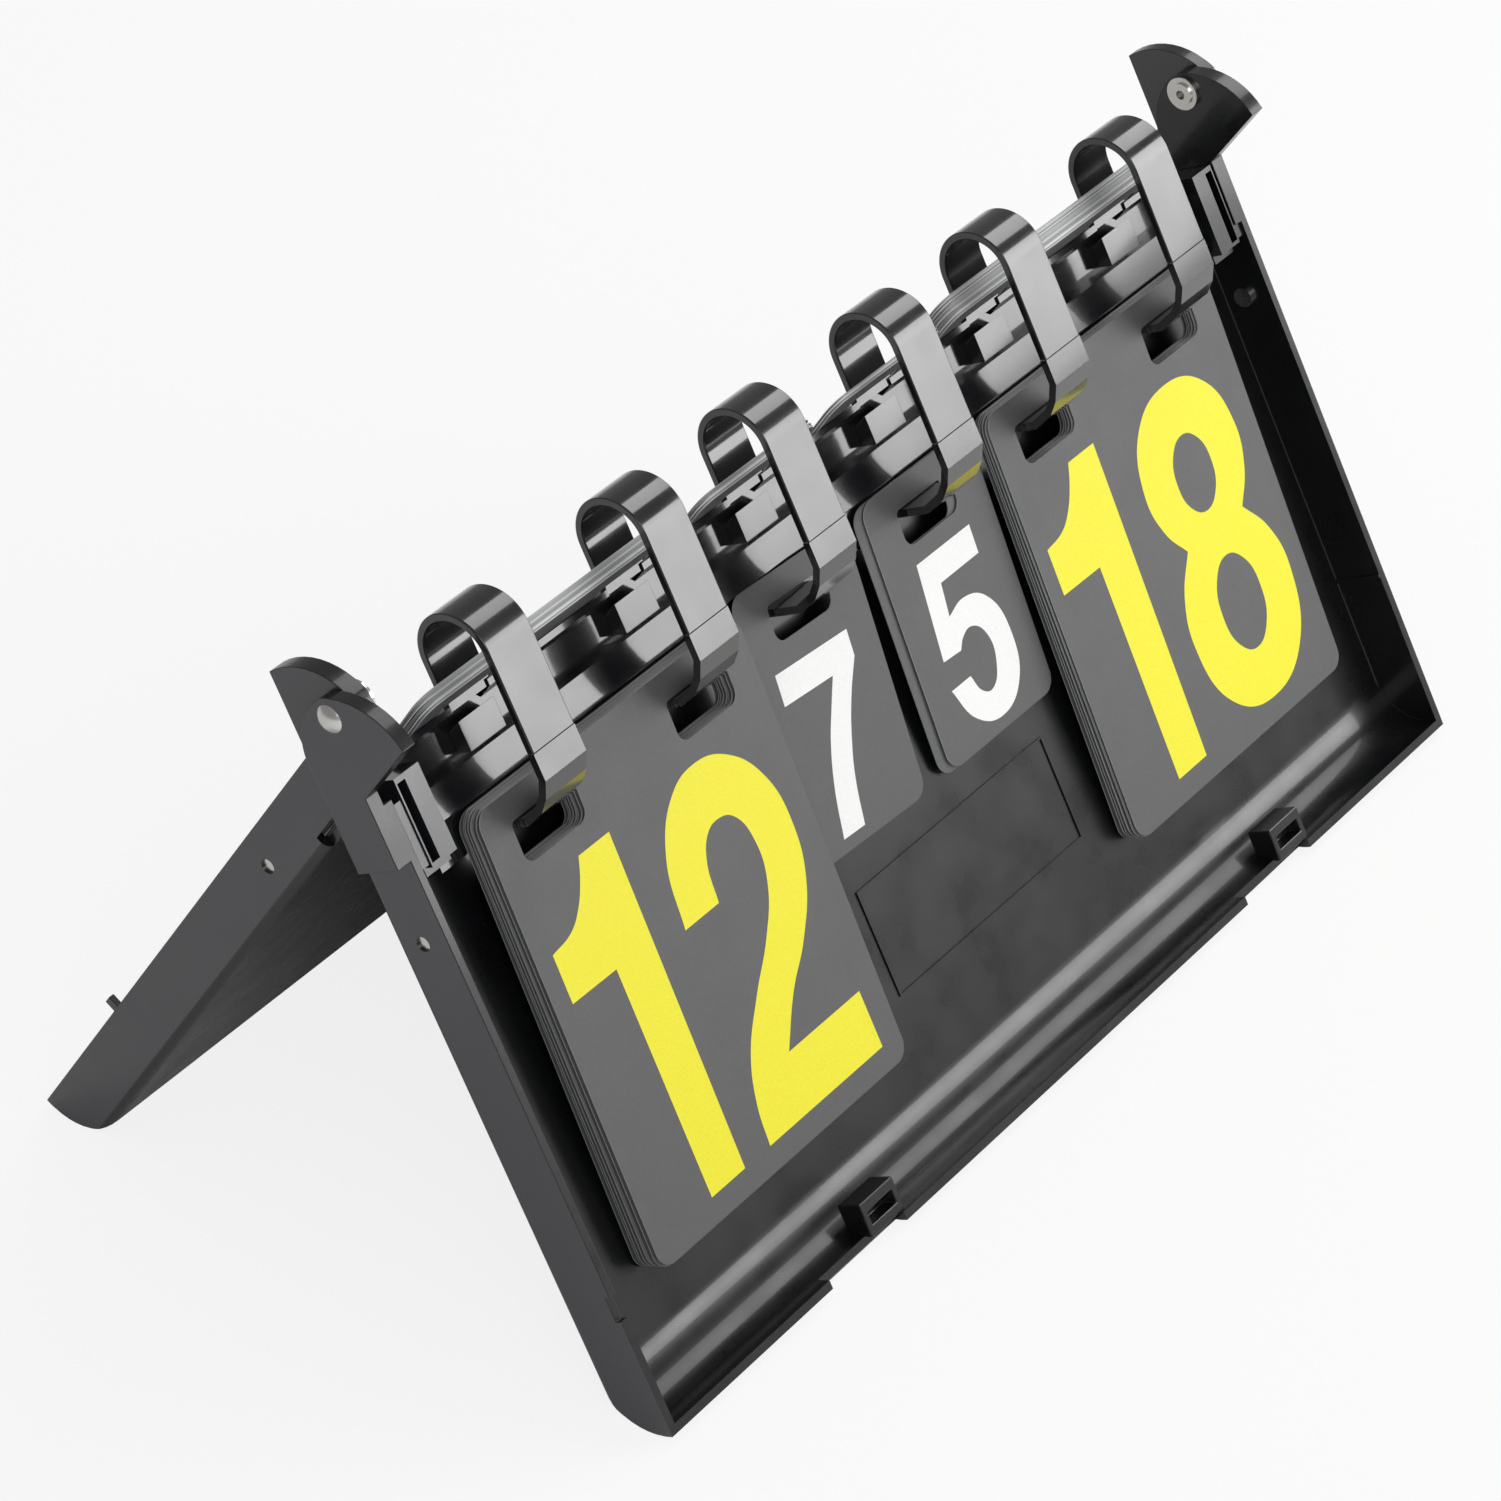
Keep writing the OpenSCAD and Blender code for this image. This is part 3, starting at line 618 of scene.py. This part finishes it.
def hoop_tree():
    """Sweep the strap profile along the hoop line, add the root block, and set one on each ring place."""
    tree, given = tree_with("ring_hoops", {
        "Hoop line": "NodeSocketObject", "Root block": "NodeSocketObject", "Strap width": "NodeSocketFloat",
        "Strap thickness": "NodeSocketFloat", "Edge radius": "NodeSocketFloat", "Lean": "NodeSocketFloat",
        "Hinge height": "NodeSocketFloat", "Plastic": "NodeSocketMaterial"})
    line = add(tree, "GeometryNodeObjectInfo", {"Object": given["Hoop line"]})
    root = add(tree, "GeometryNodeObjectInfo", {"Object": given["Root block"]})
    profile = add(tree, "GeometryNodeCurvePrimitiveQuadrilateral",
                  {"Width": given["Strap width"], "Height": given["Strap thickness"]})
    rounded = add(tree, "GeometryNodeFilletCurve", {
        "Curve": profile.outputs["Curve"], "Radius": given["Edge radius"],
        "Count": STRAP_EDGE_POINTS}, mode="POLY")
    strap = add(tree, "GeometryNodeCurveToMesh", {
        "Curve": line.outputs["Geometry"], "Profile Curve": rounded.outputs["Curve"], "Fill Caps": True})
    ring = add(tree, "GeometryNodeJoinGeometry",
               {"Geometry": [strap.outputs["Mesh"], root.outputs["Geometry"]]})
    rings = add(tree, "GeometryNodeInstanceOnPoints",
                {"Points": given["Geometry"], "Instance": ring.outputs["Geometry"]})
    back = add(tree, "ShaderNodeMath", {0: given["Lean"], 1: -1.0}, operation="MULTIPLY")
    turn = add(tree, "ShaderNodeCombineXYZ", {"X": back.outputs[0]})
    lift = add(tree, "ShaderNodeCombineXYZ", {"Z": given["Hinge height"]})
    euler = add(tree, "FunctionNodeEulerToRotation", {"Euler": turn.outputs[0]})
    leaned = add(tree, "GeometryNodeTransform", {
        "Geometry": rings.outputs["Instances"], "Translation": lift.outputs[0], "Rotation": euler.outputs[0]})
    real = add(tree, "GeometryNodeRealizeInstances", {"Geometry": leaned.outputs["Geometry"]})
    done = add(tree, "GeometryNodeSetMaterial",
               {"Geometry": real.outputs["Geometry"], "Material": given["Plastic"]})
    add(tree, "NodeGroupOutput", {"Geometry": done.outputs["Geometry"]})
    return tree


def hoop_line(size):
    """Middle line of the strap: up the rear leg, over the bow and down the front leg to the seam."""
    radius = (size.clear + size.strap) / 2
    bow_drop = radius + size.strap / 2 - size.rise
    turns = [i * math.pi / BOW_STEPS for i in range(BOW_STEPS + 1)]
    bow = [(radius * math.cos(turn), radius * math.sin(turn)) for turn in turns]
    side = [(radius, -(size.foot - bow_drop)), *bow, (-radius, -(size.part_line - size.seam - bow_drop))]
    curve = bpy.data.curves.new("hoop_line", "CURVE")
    curve.dimensions = "3D"
    spline = curve.splines.new("POLY")
    spline.points.add(len(side) - 1)
    for point, (depth, height) in zip(spline.points, side):
        point.co = (0, depth - size.middle, height - bow_drop, 1)
    return link("hoop_line", curve)


def upright(lean):
    """Matrix from the leaning front half to its upright frame."""
    return (Matrix.Translation((0, 0, HINGE_HEIGHT)) @ Matrix.Rotation(-lean, 4, "X")).inverted()


def root_block(size, middle_x):
    """The hoop's root in the rail, cut from a CAD ring and rounded, in the upright frame at x = 0."""
    solid = merged(RING_NODES[ROOT_RING])
    to_middle = Matrix.Translation((-middle_x, 0, 0)) @ upright(size.lean)
    bmesh.ops.transform(solid, matrix=to_middle, verts=solid.verts)
    bmesh.ops.bisect_plane(solid, geom=[*solid.verts, *solid.edges, *solid.faces], dist=SAME_POINT,
                           plane_co=(0, 0, -size.foot + ROOT_CUT_RISE), plane_no=ROOT_CUT_NORMAL,
                           clear_outer=True)
    front = [v for v in solid.verts if v.co.y < 0]
    bmesh.ops.delete(solid, geom=front, context="VERTS")
    holes = [edge for edge in solid.edges if len(edge.link_faces) == 1]
    bmesh.ops.holes_fill(solid, edges=holes, sides=0)
    round_off(solid, corners(solid), size.edge * ROOT_EDGE_SHARE)
    return mesh_object("root_block", solid)


def card_frames(node):
    """What card_frame gives for each card in a CAD node."""
    solid = bmesh.new()
    solid.from_mesh(NODES[node].data)
    bmesh.ops.remove_doubles(solid, verts=solid.verts, dist=SAME_POINT)
    seen, frames = set(), []
    for start in solid.verts:
        if start in seen:
            continue
        seen.add(start)
        island, queue = [], [start]
        while queue:
            vert = queue.pop()
            island.append(vert.co)
            for edge in vert.link_edges:
                other = edge.other_vert(vert)
                if other not in seen:
                    seen.add(other)
                    queue.append(other)
        frames.append(card_frame(np.array([tuple(co) for co in island])))
    solid.free()
    return frames


def card_frame(points):
    """One flat card's frame, width and thickness, from points that lie evenly on both sides of its middle.

    The frame holds its right, up and outward axes, and starts at the top left corner of its face.
    """
    axes = np.linalg.eigh(np.cov((points - points.mean(0)).T))[1]
    up = Vector(axes[:, 2])
    up = up if up.z > 0 else -up
    right = Vector(axes[:, 1])
    right = right if right.x > 0 else -right
    out = right.cross(up)
    across, along, through = [points @ np.array(axis) for axis in (right, up, out)]
    matrix = Matrix((right, up, out)).transposed().to_4x4()
    matrix.translation = across.min() * right + along.max() * up + through.max() * out
    return matrix, across.max() - across.min(), through.max() - through.min()


def card_blank(node):
    """One card lying in its own frame, with its cut edges marked."""
    matrix = card_frames(node)[0][0]
    solid = merged(node)
    bmesh.ops.transform(solid, matrix=matrix.inverted(), verts=solid.verts)
    solid.normal_update()
    for face in solid.faces:
        face.smooth = False
    mesh = bpy.data.meshes.new("card_blank")
    cut = [abs(face.normal.z) < EDGE_ON for face in solid.faces]
    solid.to_mesh(mesh)
    solid.free()
    mesh.attributes.new("cut", "BOOLEAN", "FACE").data.foreach_set("value", cut)
    return link("card_blank", mesh)


def card_tree():
    """Set the card blank on each point with its turn, a little to one side, and dress its faces and edges."""
    tree, given = tree_with("threaded_cards", {
        "Card": "NodeSocketObject", "Scatter": "NodeSocketFloat", "Seed": "NodeSocketInt",
        "Sheet": "NodeSocketMaterial", "Cut edge": "NodeSocketMaterial"})
    card = add(tree, "GeometryNodeObjectInfo", {"Object": given["Card"]})
    turn = add(tree, "GeometryNodeInputNamedAttribute", {"Name": "turn"}, data_type="FLOAT_VECTOR")
    euler = add(tree, "FunctionNodeEulerToRotation", {"Euler": turn.outputs["Attribute"]})
    back = add(tree, "ShaderNodeMath", {0: given["Scatter"], 1: -1.0}, operation="MULTIPLY")
    aside = add(tree, "FunctionNodeRandomValue", {"Seed": given["Seed"]}, data_type="FLOAT")
    tree.links.new(back.outputs[0], aside.inputs[2])
    tree.links.new(given["Scatter"], aside.inputs[3])
    move = add(tree, "ShaderNodeCombineXYZ", {"X": aside.outputs[1]})
    moved = add(tree, "GeometryNodeSetPosition", {"Geometry": given["Geometry"], "Offset": move.outputs[0]})
    cards = add(tree, "GeometryNodeInstanceOnPoints", {
        "Points": moved.outputs["Geometry"], "Instance": card.outputs["Geometry"],
        "Rotation": euler.outputs[0]})
    # Each card gets a random tone, which sets how bright the painted highlight on its cut edge is.
    tone = add(tree, "FunctionNodeRandomValue", {"Seed": given["Seed"]}, data_type="FLOAT")
    toned = add(tree, "GeometryNodeStoreNamedAttribute", {
        "Geometry": cards.outputs["Instances"], "Name": "shade", "Value": tone.outputs[1]},
        data_type="FLOAT", domain="INSTANCE")
    real = add(tree, "GeometryNodeRealizeInstances", {"Geometry": toned.outputs["Geometry"]})
    sheet = add(tree, "GeometryNodeSetMaterial", {
        "Geometry": real.outputs["Geometry"], "Material": given["Sheet"]})
    cut = add(tree, "GeometryNodeInputNamedAttribute", {"Name": "cut"}, data_type="BOOLEAN")
    done = add(tree, "GeometryNodeSetMaterial", {
        "Geometry": sheet.outputs["Geometry"], "Selection": cut.outputs["Attribute"],
        "Material": given["Cut edge"]})
    add(tree, "NodeGroupOutput", {"Geometry": done.outputs["Geometry"]})
    return tree


CARD_NODES = {
    "score": ["left_score_card", "right_score_card", "left_score_stack", "right_score_stack",
              "left_score_flipped", "right_score_flipped"],
    "set": ["left_set_card", "right_set_card", "right_set_stack", "left_set_flipped", "right_set_flipped"],
}
BLANK_NODES = {"score": "left_score_card", "set": "right_set_card"}


class CaseOperator(bpy.types.Operator):
    """Round the edges of both case halves and their latch parts, and give them their moulded finish"""
    bl_idname = "scoreboard.case"
    bl_label = "Case halves"

    def execute(self, context):
        finish = case_abs()
        look = context.scene.scoreboard_case
        front = upright(context.scene.scoreboard_rings.lean)
        rear = front @ Matrix.Scale(-1, 4, (0, 1, 0))
        case_half("front_shell", "rear_shell", "front_case_half", front, rear, look, finish)
        case_half("rear_shell", "front_shell", "rear_case_half", rear, front, look, finish)
        rounded_copy("front_latch_catches", "latch_catches", LATCH_EDGE, finish)
        rounded_copy("rear_latch_hooks", "latch_hooks", LATCH_EDGE, finish)
        return {"FINISHED"}


class RailOperator(bpy.types.Operator):
    """Give the ring rail with its lower jaws and its end brackets their plastics"""
    bl_idname = "scoreboard.rail"
    bl_label = "Ring rail"

    def execute(self, context):
        # The left bracket's paler plastic is painted reflection; the right bracket has the case plastic.
        finishes = {"rail_end_left": rail_abs(), "ring_rail": ring_abs(), "rail_end_right": case_abs()}
        for node, finish in finishes.items():
            for place in NODES[node].material_slots:
                place.material = finish
        return {"FINISHED"}


class RingsOperator(bpy.types.Operator):
    """Sweep the six ring hoops from one hoop line"""
    bl_idname = "scoreboard.rings"
    bl_label = "Ring hoops"

    def execute(self, context):
        size = context.scene.scoreboard_rings
        boxes = [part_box(node) for node in RING_NODES]
        middles = [(low.x + high.x) / 2 for low, high in boxes]
        line = hoop_line(size)
        root = root_block(size, middles[ROOT_RING])
        hoops = points_object("ring_hoops", [(x, 0, 0) for x in middles])
        run_tree(hoops, hoop_tree(), {
            "Hoop line": line, "Root block": root, "Strap width": boxes[0][1].x - boxes[0][0].x,
            "Strap thickness": size.strap, "Edge radius": size.edge, "Lean": size.lean,
            "Hinge height": HINGE_HEIGHT, "Plastic": ring_abs()})
        smooth_round(hoops, HOOP_SMOOTH_BELOW)
        finish_piece(hoops, None, "front_half", RING_NODES)
        drop(line, root)
        return {"FINISHED"}


class MetalOperator(bpy.types.Operator):
    """Plate the rivets, washers and side pegs with nickel"""
    bl_idname = "scoreboard.metal"
    bl_label = "Rivets and pegs"

    def execute(self, context):
        plate = nickel_plate()
        names = [f"hinge_{part}_{side}" for part in ("rivet", "washer") for side in ("left", "right")]
        for node in names + ["front_side_pegs", "rear_side_pegs"]:
            rounded_copy(node, f"{node}_plated", METAL_EDGE, plate)
        return {"FINISHED"}


class CardsOperator(bpy.types.Operator):
    """Thread every card of both sizes on its rings, in front and behind"""
    bl_idname = "scoreboard.cards"
    bl_label = "Cards"

    def execute(self, context):
        look = context.scene.scoreboard_cards
        tree, sheet, cut = card_tree(), card_sheet(), card_cut_edge()
        for kind, nodes in CARD_NODES.items():
            blank = card_blank(BLANK_NODES[kind])
            for node in nodes:
                frames = [found[0] for found in card_frames(node)]
                stack = points_object(f"{node}_sheets", [matrix.translation for matrix in frames])
                turns = [value for matrix in frames for value in matrix.to_euler()]
                stack.data.attributes.new("turn", "FLOAT_VECTOR", "POINT").data.foreach_set("vector", turns)
                run_tree(stack, tree, {"Card": blank, "Scatter": look.scatter if len(frames) > 1 else 0.0,
                                       "Seed": look.seed, "Sheet": sheet, "Cut edge": cut})
                finish_piece(stack, None, body_of(NODES[node])[0], [node])
            drop(blank)
        return {"FINISHED"}


def digit_mesh(name, outlines, height):
    """A thin printed film in the card's own frame, filled between the outlines."""
    curve = bpy.data.curves.new(name, "CURVE")
    curve.dimensions = "2D"
    curve.fill_mode = "BOTH"
    curve.resolution_u = CURVE_STEPS
    curve.extrude = height / 2
    for outline in outlines:
        spline = curve.splines.new("BEZIER")
        spline.bezier_points.add(len(outline) - 1)
        spline.use_cyclic_u = True
        for point, (x, y, *corner) in zip(spline.bezier_points, outline):
            point.co = (x * MM, -y * MM, 0)
            point.handle_left_type = point.handle_right_type = "VECTOR" if corner else "AUTO"
    thing = link(name, curve)
    graph = bpy.context.evaluated_depsgraph_get()
    mesh = bpy.data.meshes.new_from_object(thing.evaluated_get(graph))
    drop(thing)
    return mesh


class DigitsOperator(bpy.types.Operator):
    """Print the digits on the front cards and on the uppermost flipped cards"""
    bl_idname = "scoreboard.digits"
    bl_label = "Printed digits"

    def execute(self, context):
        look = context.scene.scoreboard_cards
        inks = {name: printed_ink(name, getattr(look, name)) for name in ("ink_yellow", "ink_white")}
        for place, (outlines, ink) in DIGITS.items():
            front = card_frames(f"{place}_card")[0][0]
            flipped = card_frames(f"{place}_flipped")
            matrix, width, thick = max(flipped, key=lambda found: found[0].translation.z)
            rear = matrix @ Matrix.Translation((width, 0, -thick)) @ Matrix.Rotation(math.pi, 4, "Y")
            for side, corner, body in (("front", front, f"{place}_leaf"), ("rear", rear, "flipped_cards")):
                mesh = digit_mesh(f"{place}_{side}_digits", outlines, look.ink_height)
                mesh.transform(corner)
                thing = link(f"{place}_{side}_digits", mesh)
                finish_piece(thing, inks[ink], body)
        return {"FINISHED"}


class StageOperator(bpy.types.Operator):
    """Set up the camera, the lamps, the floor and the white surroundings"""
    bl_idname = "scoreboard.stage"
    bl_label = "Stage"

    def execute(self, context):
        look = context.scene.scoreboard_stage
        camera = link("camera", bpy.data.cameras.new("camera"))
        camera.data.lens = look.lens
        camera.data.sensor_width = SENSOR_WIDTH
        camera.data.clip_start = CLIP_START
        right, forward = Vector(CAMERA_RIGHT), Vector(CAMERA_FORWARD)
        up = right.cross(forward)
        turn = Matrix((right, up, -forward)).transposed().to_4x4()
        camera.matrix_world = Matrix.Translation(Vector(look.eye) + Vector((0, 0, HINGE_HEIGHT))) @ turn
        context.scene.camera = camera
        for name, (place, size, power) in LAMPS.items():
            softbox(name, place, size, getattr(look, power))
        floor()
        surroundings(look.sky, look.mirrored)
        context.scene.view_settings.view_transform = "Standard"
        return {"FINISHED"}


def softbox(name, place, size, power):
    """A rectangular area lamp that faces the scoreboard."""
    data = bpy.data.lights.new(name, "AREA")
    data.shape = "RECTANGLE"
    data.size, data.size_y = size
    data.energy = power
    lamp = link(name, data)
    lamp.location = place
    lamp.rotation_euler = (Vector(LAMP_AIM) - Vector(place)).to_track_quat("-Z", "Y").to_euler()


def floor():
    """A wide pale floor that is nearly white to the camera, and keeps a soft shadow."""
    low, high = -FLOOR_HALF, FLOOR_HALF
    mesh = bpy.data.meshes.new("floor")
    mesh.from_pydata([(low, low, 0), (high, low, 0), (high, high, 0), (low, high, 0)], [], [(0, 1, 2, 3)])
    thing = link("floor", mesh)
    material, tree = new_material("studio_floor")
    path = add(tree, "ShaderNodeLightPath").outputs
    share = add(tree, "ShaderNodeMath", {0: path["Is Camera Ray"], 1: FLOOR_WHITE}, operation="MULTIPLY")
    paint = add(tree, "ShaderNodeBsdfDiffuse", {"Color": linear("#f0f0f0")})
    glow = add(tree, "ShaderNodeEmission", {"Color": (1, 1, 1, 1), "Strength": 1.0})
    both = add(tree, "ShaderNodeMixShader", {0: share.outputs[0], 1: paint.outputs[0], 2: glow.outputs[0]})
    add(tree, "ShaderNodeOutputMaterial", {"Surface": both.outputs[0]})
    mesh.materials.append(material)


def surroundings(light, mirrored):
    """A world that is white to the camera, softer as a light, and dimmer again in reflections."""
    world = bpy.data.worlds.new("surroundings")
    world.use_nodes = True
    tree = world.node_tree
    tree.nodes.clear()
    path = add(tree, "ShaderNodeLightPath").outputs
    gloss = add(tree, "ShaderNodeMapRange", {
        "Value": path["Is Glossy Ray"], "To Min": light, "To Max": mirrored})
    level = add(tree, "ShaderNodeMath", {0: path["Is Camera Ray"], 1: gloss.outputs["Result"]},
                operation="MAXIMUM")
    sky = add(tree, "ShaderNodeBackground", {"Color": (1, 1, 1, 1), "Strength": level.outputs[0]})
    add(tree, "ShaderNodeOutputWorld", {"Surface": sky.outputs[0]})
    bpy.context.scene.world = world


OPERATORS = [CaseOperator, RailOperator, RingsOperator, MetalOperator, CardsOperator, DigitsOperator,
             StageOperator]


class ScoreboardPanel(bpy.types.Panel):
    """Buttons for each group of pieces, in the order in which they are made"""
    bl_idname = "VIEW3D_PT_scoreboard"
    bl_label = "Flip scoreboard"
    bl_space_type = "VIEW_3D"
    bl_region_type = "UI"
    bl_category = "Scoreboard"

    def draw(self, context):
        for operator in OPERATORS:
            self.layout.operator(operator.bl_idname)


def register():
    for group in GROUPS.values():
        bpy.utils.register_class(group)
    for name, group in GROUPS.items():
        setattr(bpy.types.Scene, name, PointerProperty(type=group))
    for part in [*OPERATORS, ScoreboardPanel]:
        bpy.utils.register_class(part)


def unregister():
    for part in [ScoreboardPanel, *reversed(OPERATORS)]:
        bpy.utils.unregister_class(part)
    for name, group in reversed(GROUPS.items()):
        delattr(bpy.types.Scene, name)
        bpy.utils.unregister_class(group)


def main():
    register()
    bpy.ops.scoreboard.case()
    bpy.ops.scoreboard.rail()
    bpy.ops.scoreboard.rings()
    bpy.ops.scoreboard.metal()
    bpy.ops.scoreboard.cards()
    bpy.ops.scoreboard.digits()
    bpy.ops.scoreboard.stage()


if __name__ == "__main__":
    main()
